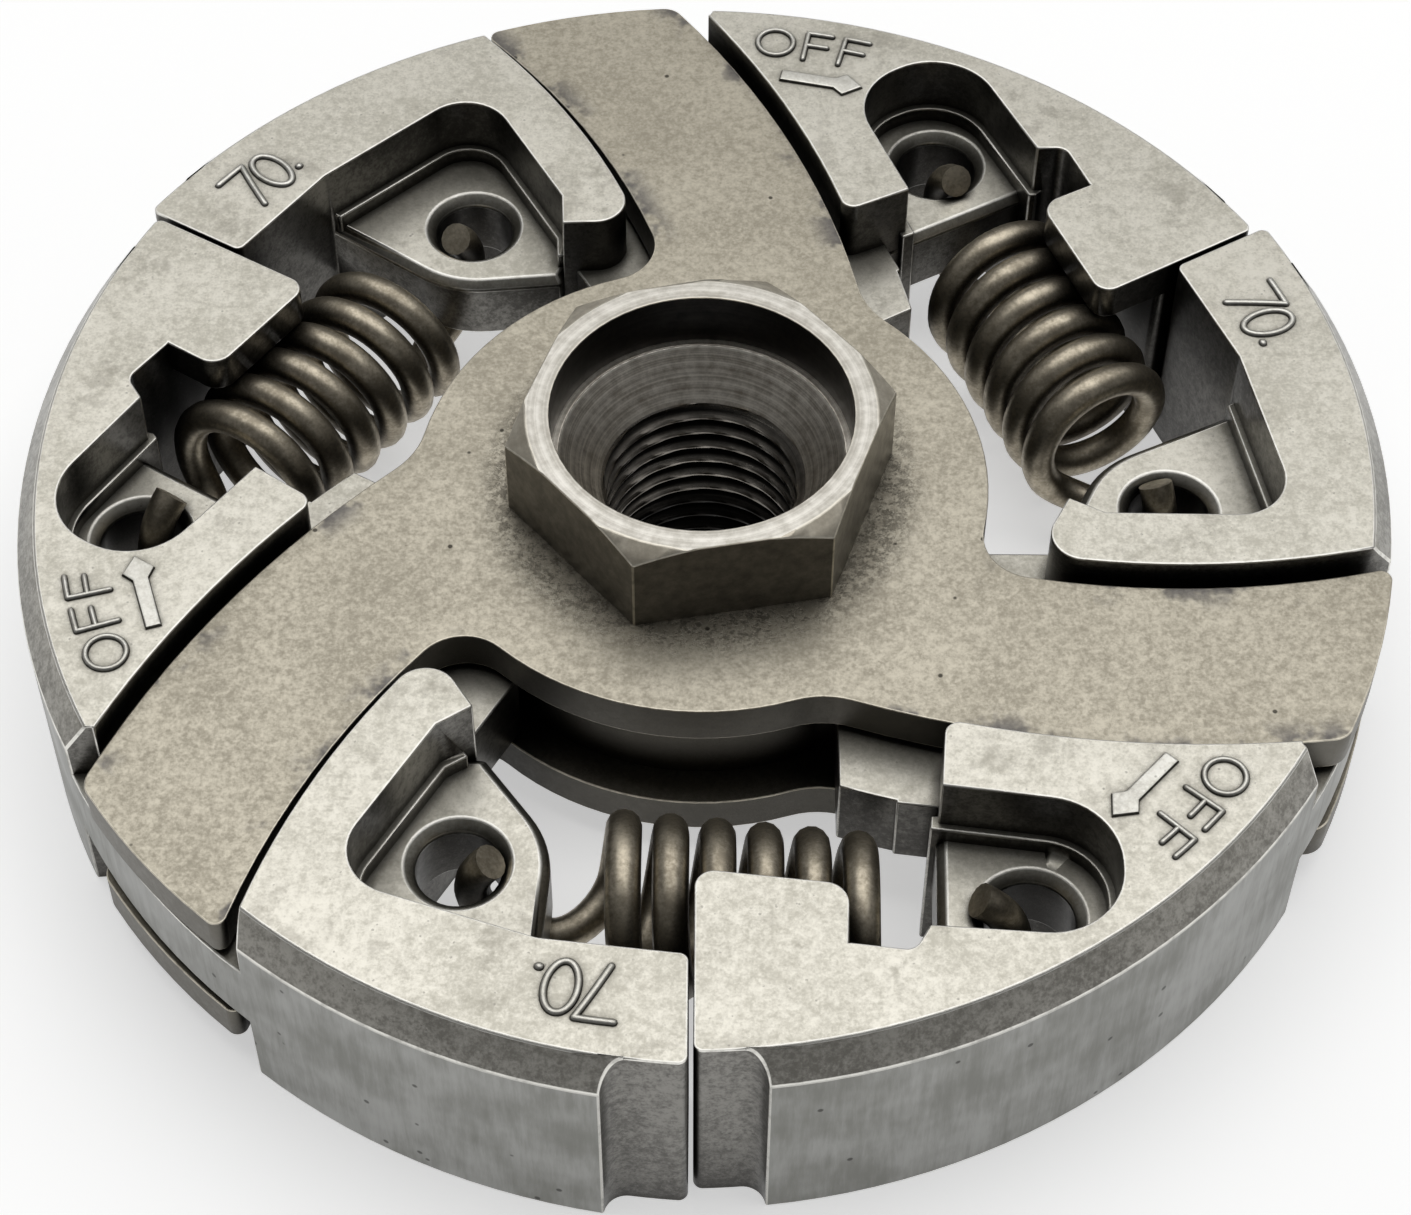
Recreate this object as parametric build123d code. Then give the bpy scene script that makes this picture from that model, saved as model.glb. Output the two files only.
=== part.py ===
from build123d import *
import os
from math import cos, hypot, radians, sin, tan

# Centrifugal clutch of a chainsaw, lying on its back with the hexagon up.
# A three-armed steel spider screws onto the crankshaft. Three sintered shoes slide on its
# arms and three extension springs, hooked from shoe to shoe, pull them in.
# Millimetres. The origin is on the clutch's axis, in the plane that the shoes lie on.
# The seams between shoes are at -90, 30 and 150 degrees. The first arm points to about -18.

# Overall sizes
shoe_count = 3
shoe_height = 14.4

# The friction faces are ground round with the shoes swung out. At rest the springs pull
# each shoe in, so that its face is centred this far from the axis. Angle for the first shoe.
friction_radius = 39.75
rim_centre_offset = 1.5
rim_centre_angle = 133.0

# Spider: two flanges on a core, so that each arm has an H section
arm_middle_height = 7.7
flange_gap = 6.1
flange_thickness = 2.5
hub_flange_radius = 16.1
hub_core_radius = 14.0
arm_angle = -18.0
arm_tip_inset = 1.15
arm_width = 10.6
arm_core_width = 5.0
arm_core_setback = 7.6
arm_hub_fillet_tight = 2.8
arm_hub_fillet_open = 5.0
arm_tip_fillet_leading = 0.6
arm_tip_fillet_trailing = 1.3

# The arm's sides, its core and the shoe's slot are all arcs about one centre. The arm's
# middle line, drawn on round the hub, would pass the axis at the guide offset.
guide_radius = 52.6
guide_offset = 5.0
guide_centre_angle = 56.6

# Hexagon and bore
hexagon_across_flats = 19.0
hexagon_angle = 10.7
hexagon_height = 5.85
hexagon_face_radius = 9.7
hexagon_chamfer_angle = 30.0
counterbore_radius = 8.4
counterbore_depth = 3.5
lead_in_top_radius = 8.0
lead_in_depth = 2.7
thread_core_radius = 5.35
boss_radius = 9.5
back_countersink = 1.0

# Clearances between the shoe and the spider, and the corners at the flanks' inner ends
wide_flank_play = 0.6
deep_flank_play = 0.75
wide_flank_corner = 0.8
deep_flank_corner = 1.8
slot_play = 0.3
slot_end_play = 0.6
guide_plate_play = 0.55

# Guide plate: its prongs beside the hub, and how far the wide side's shows beyond the arm
wide_prong_end = 7.45
wide_prong_start = 10.5
deep_prong_end = 14.7
deep_prong_edge = -2.8
prong_corner = 0.65
prong_reach = 3.5

# Seam between two shoes
seam_offset = -0.35
seam_gap = 0.25
seam_corner_radius = 0.5
wide_relief_length = 3.8
deep_relief_length = 4.4
relief_fillet = 1.2

# Rim edge
rim_top_chamfer_width = 1.2
rim_top_chamfer_height = 1.9

# Spring pockets in both halves of a shoe, with a web that the hook passes through
web_thickness = 4.2
web_chamfer = 0.5
pocket_ledge_height = 10.8
pocket_ledge_width = 0.4
wide_half_hole_radius = 2.4
deep_half_hole_radius = 2.3
hole_chamfer = 0.6

# Guard over the outer side of the spring
guard_thickness = 2.4
guard_end = 7.7
guard_inner_edge = 27.1
guard_corner_radius = 1.3
guard_root = 33.0

# Spring
spring_height = 7.4
wire_diameter = 1.95
coil_mean_radius = 4.0
coil_pitch = 2.5
coil_turns = 6
coil_steps_per_turn = 9
bend_steps = 3
hook_steps = 6
wire_sides = 7
hook_wrap_angle = 148.0
hook_bend_angle = 55.0
hook_hole_play = 0.7

sector = 360 / shoe_count


def polar(radius, angle):
    return (radius * cos(radians(angle)), radius * sin(radians(angle)))


guide_centre_radius = guide_radius - guide_offset
arm_tip_radius = friction_radius - arm_tip_inset
arm_core_tip_radius = arm_tip_radius - arm_core_setback
flange_bottom = arm_middle_height - flange_gap / 2 - flange_thickness
flange_top = arm_middle_height + flange_gap / 2 + flange_thickness
web_bottom = arm_middle_height - web_thickness / 2
web_top = arm_middle_height + web_thickness / 2

# Outlines are drawn a little past the rim, which the turned rim band then cuts
drawn_radius = friction_radius + 1
beyond = 2 * friction_radius


def outline(*corners):
    # Each corner is (x, y) or (x, y, rounding radius)
    points = [corner[:2] for corner in corners]
    radii = [corner[2] if len(corner) > 2 else 0 for corner in corners]
    return make_face(FilletPolyline(*points, radius=radii, close=True))


def plate(face, bottom, top):
    return Pos(0, 0, bottom) * extrude(face, top - bottom, dir=(0, 0, 1))


def guide_disc(radius, turn=0):
    x, y = polar(guide_centre_radius, guide_centre_angle + turn)
    return Pos(x, y) * Circle(radius)


def guide_strip(width, end_radius):
    # Curved strip along the first arm, out to a circle about the clutch's axis
    ring = guide_disc(guide_radius + width / 2) - guide_disc(guide_radius - width / 2)
    outer_side = Rot(0, 0, arm_angle) * Pos(beyond / 2, 0) * Rectangle(beyond, 2 * beyond)
    return ring & Circle(end_radius) & outer_side


def corners_between(face, hub_radius, guide_arc_radius):
    # Corners where a circle about the axis meets an arc about one of the guide centres
    found = []
    for vertex in face.vertices():
        on_circle = abs(hypot(vertex.X, vertex.Y) - hub_radius) < 0.01
        for k in range(shoe_count):
            x, y = polar(guide_centre_radius, guide_centre_angle + k * sector)
            on_arc = abs(hypot(vertex.X - x, vertex.Y - y) - guide_arc_radius) < 0.01
            if on_circle and on_arc:
                found.append(vertex)
    return found


def round_corner_near(face, x, y, radius):
    nearest = face.vertices().sort_by(lambda vertex: hypot(vertex.X - x, vertex.Y - y))[0]
    return fillet([nearest], radius)


def flange_plan():
    arm = guide_strip(arm_width, arm_tip_radius)
    plan = Circle(hub_flange_radius)
    for k in range(shoe_count):
        plan += Rot(0, 0, k * sector) * arm
    inner_side = guide_radius - arm_width / 2
    outer_side = guide_radius + arm_width / 2
    plan = fillet(corners_between(plan, hub_flange_radius, inner_side), arm_hub_fillet_tight)
    plan = fillet(corners_between(plan, hub_flange_radius, outer_side), arm_hub_fillet_open)
    plan = fillet(corners_between(plan, arm_tip_radius, inner_side), arm_tip_fillet_leading)
    plan = fillet(corners_between(plan, arm_tip_radius, outer_side), arm_tip_fillet_trailing)
    return plan


def hexagon():
    corner_radius = hexagon_across_flats / 2 / cos(radians(30))
    bar = plate(RegularPolygon(corner_radius, 6, rotation=hexagon_angle), 0, hexagon_height)
    # Turned chamfer that rounds off the six corners at the top
    turned_radius = corner_radius + 1
    drop = (turned_radius - hexagon_face_radius) * tan(radians(hexagon_chamfer_angle))
    profile = Plane.XZ * outline(
        (0, 0),
        (turned_radius, 0),
        (turned_radius, hexagon_height - drop),
        (hexagon_face_radius, hexagon_height),
        (0, hexagon_height),
    )
    return Pos(0, 0, flange_top) * (bar & revolve(profile, Axis.Z))


def bore():
    top = flange_top + hexagon_height
    lead_in_top = top - counterbore_depth
    lead_in_bottom = lead_in_top - lead_in_depth
    profile = Plane.XZ * outline(
        (0, -1),
        (thread_core_radius + back_countersink + 1, -1),
        (thread_core_radius, back_countersink),
        (thread_core_radius, lead_in_bottom),
        (lead_in_top_radius, lead_in_top),
        (counterbore_radius, lead_in_top),
        (counterbore_radius, top + 1),
        (0, top + 1),
    )
    return revolve(profile, Axis.Z)


def spider_hub():
    flange = flange_plan()
    lower_flange = plate(flange, flange_bottom, flange_bottom + flange_thickness)
    upper_flange = plate(flange, flange_top - flange_thickness, flange_top)
    core_plan = Circle(hub_core_radius)
    for k in range(shoe_count):
        core_plan += Rot(0, 0, k * sector) * guide_strip(arm_core_width, arm_core_tip_radius)
    core = plate(core_plan, flange_bottom, flange_top)
    boss = plate(Circle(boss_radius), 0, flange_bottom)
    return lower_flange + upper_flange + core + boss + hexagon() - bore()


# A shoe has two unlike halves, one on each side of its arm. Both are drawn in the sector
# of the seam at -90 degrees: the wide half lies on the +X side of that seam and belongs
# to the arm at -18 degrees. The deep half on the -X side belongs to the arm before it,
# so it is turned one sector forward to join its wide half.

wide_hole = (17.3, -26.6)
deep_hole = (-12.7, -23.5)


def rim_disc(radius, turn=0):
    x, y = polar(rim_centre_offset, rim_centre_angle + turn)
    return Pos(x, y) * Circle(radius)


def rim_band():
    profile = Plane.XZ * outline(
        (0, 0),
        (friction_radius, 0),
        (friction_radius, shoe_height - rim_top_chamfer_height),
        (friction_radius - rim_top_chamfer_width, shoe_height),
        (0, shoe_height),
    )
    x, y = polar(rim_centre_offset, rim_centre_angle)
    return Pos(x, y) * revolve(profile, Axis.Z)


def seam_relief(seam, length, turn=0):
    # Cut beside a seam that takes the friction face back as far as the top chamfer does
    floor_radius = friction_radius - rim_top_chamfer_width
    beside_seam = Pos(seam, -friction_radius) * Rectangle(2 * abs(length), friction_radius / 2)
    cut = beside_seam - rim_disc(floor_radius, turn)
    return round_corner_near(cut, seam + length, -floor_radius, relief_fillet)


def hook_web(face, hole, hole_radius):
    web = plate(face, web_bottom, web_top)
    top_face = web.faces().sort_by(Axis.Z)[-1]
    web = chamfer(top_face.edges(), web_chamfer)
    x, y = hole
    mouth = Cone(hole_radius, hole_radius + hole_chamfer, hole_chamfer)
    mouth_height = web_top - hole_chamfer / 2
    web -= Pos(x, y, arm_middle_height) * Cylinder(hole_radius, web_thickness)
    return web - Pos(x, y, mouth_height) * mouth


def half_body(side, pocket_zone, trimmed):
    # The pocket wall steps in by a narrow ledge below the flange's level
    ledge = offset(side, pocket_ledge_width, kind=Kind.INTERSECTION) & pocket_zone
    upper = plate(trimmed(side), pocket_ledge_height, shoe_height)
    lower = plate(trimmed(side + ledge), 0, pocket_ledge_height)
    return upper + lower


def wide_half():
    seam = seam_offset + seam_gap / 2
    flank_end = (13.4, -12.0)
    side = outline(
        (seam, -31.0, seam_corner_radius),
        (guard_end, -31.1),
        (10.9, -31.5, 0.8),
        (11.7, -30.0),
        (21.7, -30.7, 3.9),
        (21.7, -22.7, 3.9),
        (12.6, -21.5),
        flank_end,
        (beyond, -12.0),
        (beyond, -beyond),
        (seam, -beyond),
    )
    pocket_zone = outline((9.0, -21.0), (24.0, -21.0), (24.0, -32.5), (11.4, -32.5), (11.4, -30.6))
    # The flank ends in a slanting face, short of the friction face
    slant = outline((31.7, -18.7), (33.0, -20.5), (36.5, -22.0), (36.0, -15.0), (31.7, -15.0))
    flank_radius = guide_radius + arm_width / 2 + wide_flank_play

    def trimmed(plan):
        plan = (plan & rim_disc(drawn_radius)) - guide_disc(flank_radius)
        plan = round_corner_near(plan, *flank_end, wide_flank_corner)
        plan -= slant
        plan -= seam_relief(seam, wide_relief_length)
        return round_corner_near(plan, seam, -friction_radius, seam_corner_radius)

    web = hook_web(
        outline((12.6, -20.0), (24.0, -20.0), (24.0, -32.0), (12.3, -32.0)),
        wide_hole,
        wide_half_hole_radius,
    )
    guard = plate(
        outline(
            (seam, -guard_inner_edge + 0.4, 1.0),
            (guard_end, -guard_inner_edge - 0.5, guard_corner_radius),
            (guard_end - 0.2, -guard_root),
            (seam, -guard_root),
        ),
        shoe_height - guard_thickness,
        shoe_height,
    )
    return half_body(side, pocket_zone, trimmed) + web + guard


def deep_half():
    seam = seam_offset - seam_gap / 2
    flank_end = (-15.3, -11.5)
    side = outline(
        (seam, -31.8, seam_corner_radius),
        (-8.1, -30.9, 1.0),
        (-19.4, -27.1, 2.8),
        (-13.9, -17.8),
        (-12.0, -16.6),
        flank_end,
        (-beyond, -11.5),
        (-beyond, -beyond),
        (seam, -beyond),
    )
    pocket_zone = outline((-13.3, -16.2), (-22.0, -25.5), (-22.0, -32.5), (-8.6, -32.5), (-7.9, -23.0))
    slant = outline((-23.3, -28.9), (-23.6, -31.2), (-24.0, -34.0), (-28.0, -34.0), (-28.0, -28.9))
    flank_radius = guide_radius - arm_width / 2 - deep_flank_play

    def trimmed(plan):
        plan = plan & rim_disc(drawn_radius, -sector) & guide_disc(flank_radius, -sector)
        plan = round_corner_near(plan, *flank_end, deep_flank_corner)
        plan -= slant
        plan -= seam_relief(seam, -deep_relief_length, -sector)
        return round_corner_near(plan, seam, -friction_radius, seam_corner_radius)

    web = hook_web(
        outline(
            (-8.4, -31.8),
            (-7.7, -22.0, 6.0),
            (-11.6, -16.6),
            (-14.5, -16.6),
            (-21.5, -25.0),
            (-18.5, -30.0),
        ),
        deep_hole,
        deep_half_hole_radius,
    )
    return half_body(side, pocket_zone, trimmed) + web


def guide_plate():
    # Middle plate that slides between the two flanges and carries the rim round the arm tip
    thickness = flange_gap - 2 * guide_plate_play
    prong = outline(
        (wide_prong_end, -11.5),
        (wide_prong_end, -beyond),
        (wide_prong_start, -beyond),
        (wide_prong_start, -11.5),
    )
    prong = prong & guide_disc(guide_radius + arm_width / 2 + prong_reach)
    prong = round_corner_near(prong, wide_prong_end, 0, prong_corner)
    plan = prong + outline(
        (wide_prong_start, -11.5),
        (wide_prong_start, -19.8),
        (13.5, -20.2),
        (beyond, -20.2),
        (beyond, -4.5),
        (21.0, -4.5),
        (20.5, deep_prong_edge),
        (deep_prong_end, deep_prong_edge, prong_corner),
        (deep_prong_end, -11.5),
    )
    slot = guide_strip(arm_core_width + 2 * slot_play, arm_core_tip_radius + slot_end_play)
    plan = (plan & rim_disc(drawn_radius)) - slot
    bottom = arm_middle_height - thickness / 2
    return plate(plan, bottom, bottom + thickness)


def shoe():
    joined = wide_half() + Rot(0, 0, sector) * deep_half() + guide_plate()
    return joined & rim_band()


def spring():
    # Local frame: Z along the coil, X towards the back of the clutch, origin mid-coil.
    # The wire runs in short straight steps and has few sides, which keeps the mesh light.
    start = Vector(*deep_hole)
    end = Vector(*wide_hole)
    hook_inner_radius = coil_mean_radius - wire_diameter / 2
    reach = hook_inner_radius - hook_hole_play
    first_loop = deep_half_hole_radius + reach
    last_loop = (end - start).length - wide_half_hole_radius - reach
    middle = (first_loop + last_loop) / 2
    loop_distance = (last_loop - first_loop) / 2

    bend_share = 2 * hook_bend_angle / 360
    coil_length = coil_pitch * (coil_turns - bend_share)

    def hook_point(angle):
        across = coil_mean_radius * cos(radians(angle))
        along = coil_mean_radius * sin(radians(angle))
        return Vector(across, 0, -loop_distance - along)

    def coil_point(angle):
        x, y = polar(coil_mean_radius, angle)
        return Vector(x, y, -coil_length / 2 + coil_pitch * (angle - hook_bend_angle) / 360)

    hook = ThreePointArc(
        hook_point(hook_wrap_angle), hook_point(hook_wrap_angle / 2), hook_point(0)
    )
    coil_start = coil_point(hook_bend_angle)
    bend = Spline(hook @ 1, coil_start, tangents=[hook % 1, coil_point(hook_bend_angle + 1) - coil_start])

    coil_steps = round(coil_steps_per_turn * (coil_turns - bend_share))
    near_end = [hook @ (k / hook_steps) for k in range(hook_steps)]
    near_end += [bend @ (k / bend_steps) for k in range(bend_steps)]
    coil_sweep = 360 * coil_length / coil_pitch
    coil = [coil_point(hook_bend_angle + coil_sweep * k / coil_steps) for k in range(coil_steps + 1)]
    # The far hook is the near one turned end for end
    far_end = [Vector(point.X, -point.Y, -point.Z) for point in reversed(near_end)]
    path = Polyline(*near_end, *coil, *far_end)
    section = Plane(origin=path @ 0, z_dir=path % 0) * RegularPolygon(wire_diameter / 2, wire_sides)
    wire = sweep(section, path=path, transition=Transition.RIGHT)
    direction = end - start
    centre = start + direction.normalized() * middle
    turn = Vector(1, 0, 0).get_signed_angle(direction, Vector(0, 0, 1))
    return Pos(centre.X, centre.Y, spring_height) * Rot(0, 0, turn) * Rot(0, 90, 0) * wire


os.makedirs("parts", exist_ok=True)
export_step(spider_hub(), "parts/spider_hub.step")
first_shoe = shoe()
first_spring = spring()
for number in range(shoe_count):
    turn = Rot(0, 0, number * sector)
    export_step(turn * first_shoe, f"parts/shoe_{number + 1}.step")
    export_step(turn * first_spring, f"parts/spring_{number + 1}.step")
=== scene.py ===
from math import cos, degrees, hypot, pi, radians, sin

import bmesh
import bpy
from mathutils import Matrix, Vector
from mathutils.geometry import interpolate_bezier
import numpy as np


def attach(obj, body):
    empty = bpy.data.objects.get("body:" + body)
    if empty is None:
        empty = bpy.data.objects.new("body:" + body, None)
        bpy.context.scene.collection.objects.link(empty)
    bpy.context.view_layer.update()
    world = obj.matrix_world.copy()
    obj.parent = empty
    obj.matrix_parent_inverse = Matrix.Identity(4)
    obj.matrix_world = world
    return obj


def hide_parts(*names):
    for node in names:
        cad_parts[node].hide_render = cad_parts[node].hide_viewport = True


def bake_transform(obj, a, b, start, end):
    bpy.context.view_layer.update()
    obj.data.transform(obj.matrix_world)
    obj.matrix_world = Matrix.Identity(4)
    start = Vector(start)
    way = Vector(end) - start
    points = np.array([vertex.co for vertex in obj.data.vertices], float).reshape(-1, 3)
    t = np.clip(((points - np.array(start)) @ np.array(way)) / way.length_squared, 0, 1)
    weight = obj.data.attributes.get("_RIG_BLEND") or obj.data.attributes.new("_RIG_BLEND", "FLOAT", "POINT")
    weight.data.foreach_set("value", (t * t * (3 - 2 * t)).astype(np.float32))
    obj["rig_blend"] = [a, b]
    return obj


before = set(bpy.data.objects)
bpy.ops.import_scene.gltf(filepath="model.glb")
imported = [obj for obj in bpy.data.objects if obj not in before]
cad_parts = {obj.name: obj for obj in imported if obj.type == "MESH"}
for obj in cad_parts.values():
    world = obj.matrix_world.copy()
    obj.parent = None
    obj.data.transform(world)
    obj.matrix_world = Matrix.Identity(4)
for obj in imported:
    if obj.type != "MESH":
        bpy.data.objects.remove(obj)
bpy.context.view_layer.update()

# Chainsaw clutch, lying on its back with the hexagon up. Lengths are in millimetres and
# angles in degrees, and mm turns a length into Blender's metres.
mm = 0.001
sector = radians(120)       # the turn from one shoe to the next
touching = 0.0005 * mm      # points nearer than this are one
smooth = {"interpolation_type": "SMOOTHSTEP"}
scene = bpy.context.scene


def polar(radius, angle):
    return Vector((radius * cos(radians(angle)), radius * sin(radians(angle)), 0))


def colour(hexCode):
    # sRGB hex to the linear value that a socket takes
    channels = [int(hexCode[i:i + 2], 16) / 255 for i in (1, 3, 5)]
    linear = [c / 12.92 if c <= 0.04045 else ((c + 0.055) / 1.055) ** 2.4 for c in channels]
    return (*linear, 1)


def addNode(tree, kind, inputs=(), out=0, **settings):
    # Adds a node and gives one of its outputs. The inputs are values or links, in the order of
    # the node's sockets, or in a dictionary by a socket's name or number.
    node = tree.nodes.new("ShaderNode" + kind)
    for name, value in settings.items():
        setattr(node, name, value)
    for name, value in inputs.items() if isinstance(inputs, dict) else enumerate(inputs):
        if isinstance(value, bpy.types.NodeSocket):
            tree.links.new(value, node.inputs[name])
        else:
            node.inputs[name].default_value = value
    return node.outputs[out] if node.outputs else None


def newMaterial(name):
    # The material, its nodes, and the place on the piece that its patterns are drawn from
    material = bpy.data.materials.new(name)
    material.use_nodes = True
    tree = material.node_tree
    tree.nodes.clear()
    return material, tree, addNode(tree, "TexCoord", out="Object")


def grain(size, detail, rough):
    # What a noise takes for lumps of this size
    return {"Scale": 1 / (size * mm), "Detail": detail, "Roughness": rough}


def weighted(tree, *parts, total=0.0):
    # Adds up parts, each times its weight
    for part, weight in parts:
        total = addNode(tree, "Math", (part, weight, total), operation="MULTIPLY_ADD")
    return total


def mottling(tree, grains, position, first=None):
    # Noises added up round a mean of 0.5, and each noise by itself. A grain is a size, detail,
    # roughness and weight. The first noise can be drawn from a place of its own.
    noises, weights = [], []
    for *look, weight in grains:
        drawnFrom = position if noises or first is None else first
        noises.append(addNode(tree, "TexNoise", {"Vector": drawnFrom, **grain(*look)}))
        weights.append(weight)
    tone = weighted(tree, *zip(noises, weights), total=(1 - sum(weights)) / 2)
    return tone, *noises


def palette(tree, tone, contrast, low, high):
    # From the low colour to the high one over a band of the tone
    share = addNode(tree, "MapRange", (tone, *contrast), **smooth)
    ends = {0: share, 6: colour(low), 7: colour(high)}
    return addNode(tree, "Mix", ends, 2, data_type="RGBA")


def coats(tree, body, *layers):
    # Lays colours over the body in turn. The factors before a colour multiply to its share.
    for share, *factors, over in layers:
        for factor in factors:
            share = addNode(tree, "Math", (share, factor), operation="MULTIPLY")
        ends = {0: share, 6: body, 7: colour(over)}
        body = addNode(tree, "Mix", ends, 2, data_type="RGBA")
    return body


def axisDistance(tree, x, y):
    square = addNode(tree, "Math", (x, x), operation="MULTIPLY")
    square = addNode(tree, "Math", (y, y, square), operation="MULTIPLY_ADD")
    return addNode(tree, "Math", (square, 0.5), operation="POWER")


def levelShare(tree, band):
    # How much a place is a top or an underside: the band of its normal's upright part
    upright = addNode(tree, "SeparateXYZ", [addNode(tree, "TexCoord", out="Normal")], "Z")
    upright = addNode(tree, "Math", [upright], operation="ABSOLUTE")
    return addNode(tree, "MapRange", (upright, *band), **smooth)


wear = {
    "attribute": "worn",                # softenedCopy sets it on the rounded edges
    "grain": (0.8, 3.0, 0.6),
    "broken": (0.3, 0.55, 0.55, 1.0),
}


def wornEdge(tree, position):
    # Rubbed bright along the rounded edges, and broken up by grain
    marked = addNode(tree, "Attribute", out="Fac", attribute_name=wear["attribute"])
    noise = addNode(tree, "TexNoise", {"Vector": position, **grain(*wear["grain"])})
    broken = addNode(tree, "MapRange", (noise, *wear["broken"]), **smooth)
    return addNode(tree, "Math", (marked, broken), operation="MULTIPLY")


def finishMetal(tree, body, roughness, height, strength, depth):
    # Bare metal with a fine relief
    relief = {"Height": height, "Strength": strength, "Distance": depth * mm}
    shader = addNode(tree, "BsdfPrincipled", {
        "Metallic": 1.0, "Base Color": body, "Roughness": roughness,
        "Normal": addNode(tree, "Bump", relief),
    })
    addNode(tree, "OutputMaterial", [shader])


softening = {
    "flat": 0.5,            # faces that turn less than this become one before the bevel
    "segments": 2,
    "sharpAngle": 31.0,     # edges that turn more than this are rounded, or drawn sharp
}


def newPiece(name, bm, materials, body, sharpAngle=softening["sharpAngle"]):
    mesh = bpy.data.meshes.new(name)
    bm.to_mesh(mesh)
    bm.free()
    for material in materials:
        mesh.materials.append(material)
    piece = bpy.data.objects.new(name, mesh)
    scene.collection.objects.link(piece)
    mesh.shade_smooth()
    mesh.set_sharp_from_angle(angle=radians(sharpAngle))
    # Large faces keep their own direction, and only the rounded edges turn the light
    even = piece.modifiers.new("even normals", "WEIGHTED_NORMAL")
    even.keep_sharp = True
    if body:
        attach(piece, body)
    return piece


def wire(points, thickness, roundness, sizes=None, closed=False):
    # The mesh of a round wire along the points, closed at its free ends
    curve = bpy.data.curves.new("wire", "CURVE")
    curve.dimensions = "3D"
    curve.bevel_depth = thickness / 2 * mm
    curve.bevel_resolution = roundness
    curve.use_fill_caps = not closed
    spline = curve.splines.new("POLY")
    spline.points.add(len(points) - 1)
    spline.use_cyclic_u = closed
    for point, place, size in zip(spline.points, points, sizes or [1.0] * len(points)):
        point.co = (*(place * mm), 1)
        point.radius = size
    holder = bpy.data.objects.new("holder", curve)
    scene.collection.objects.link(holder)
    bpy.context.view_layer.update()
    mesh = bpy.data.meshes.new_from_object(holder)
    bpy.data.objects.remove(holder)
    return mesh


def softenedCopy(node, offset, sharpAngle=softening["sharpAngle"], weldAbove=None, weld=0.0):
    # A copy of a CAD node's mesh with its doubles merged and its outer edges rounded
    bm = bmesh.new()
    bm.from_mesh(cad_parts[node].data)
    bmesh.ops.remove_doubles(bm, verts=bm.verts, dist=touching)
    bmesh.ops.dissolve_limit(
        bm, angle_limit=radians(softening["flat"]), verts=bm.verts, edges=bm.edges,
        use_dissolve_boundaries=False,
    )
    if weldAbove:
        # Very short edges would fold over when they are rounded
        high = [v for v in bm.verts if v.co.z > weldAbove * mm]
        bmesh.ops.remove_doubles(bm, verts=high, dist=weld * mm)
    limit = radians(sharpAngle)
    outer = [e for e in bm.edges if e.is_manifold and e.is_convex]
    sharp = [e for e in outer if e.calc_face_angle(0) > limit]
    worn = bm.faces.layers.float.new(wear["attribute"])
    rounded = bmesh.ops.bevel(
        bm, geom=sharp, offset=offset * mm, offset_type="OFFSET", profile=0.5,
        segments=softening["segments"], affect="EDGES", clamp_overlap=False, material=-1,
    )
    for face in rounded["faces"]:
        face[worn] = 1.0
    return bm


shoe = {
    "top": 14.4,
    "edge": 0.12,                   # radius of its rounded edges
    "frictionRadius": 39.75,
    "rimCentre": (1.5, 133.0),      # distance and angle of the first shoe's rim centre
    "frictionBand": 0.06,           # how far from the radius a ground face may lie
    "upright": 0.3,                 # and how much it may lean
}

# Sintered iron-copper steel, pressed in a die: tops pale and rubbed, finely speckled, with
# open pores. Walls are smoother and greyer, and painted black as shade down in the pockets,
# where the pocket floors get painted shade too. The powder's own grain of 0.1 mm is drawn at
# 0.18 mm, so that it shows. A grain is a size, detail and roughness, and in grains a weight
# too. A band is the two values that a pattern runs between, and sometimes the shares that
# they give.
sintered = {
    "grains": ((6.0, 3.0, 0.6, 0.35), (0.55, 5.0, 0.75, 0.65), (0.18, 2.0, 0.6, 0.3)),
    "topContrast": (0.34, 0.64),
    "smudges": (3.2, 5.0, 0.7),
    "smudgeBand": (0.54, 0.68, 0.0, 0.4),
    "smudge": "#8F8A7E",
    "wallContrast": (0.38, 0.62),
    "walls": ("#605E5A", "#8A8883"),
    "level": (0.4, 0.95),
    "pocketReach": 7.0,             # how far the painted shade looks round for walls
    "wallShadeBand": (0.25, 0.8, 1.0, 0.0),
    "deepShade": "#282624",
    "floorShadeBand": (0.3, 0.95, 0.45, 0.0),
    "floorShade": "#6F6B63",
    "poreSpacing": 0.5,
    "poreBand": (0.2, 0.1),
    "poreField": (0.52, 0.62),      # pores lie where the mottle is in this band
    "poreShare": 0.4,
    "pore": "#4A4740",
    "creviceShadeReach": 0.7,
    "creviceShadeBand": (0.62, 0.94),
    "creviceShade": "#2B2924",
    "rubbedUnshadedBand": (0.42, 0.75, 0.15, 0.85),
    "rubbed": "#F3F1EA",
    "roughBand": (0.3, 0.7, 0.04, -0.04),
    "roughness": (0.32, 0.42),      # walls and tops
    "speckHeight": 0.4,
    "relief": (0.3, 0.025),         # strength and depth
}


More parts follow.
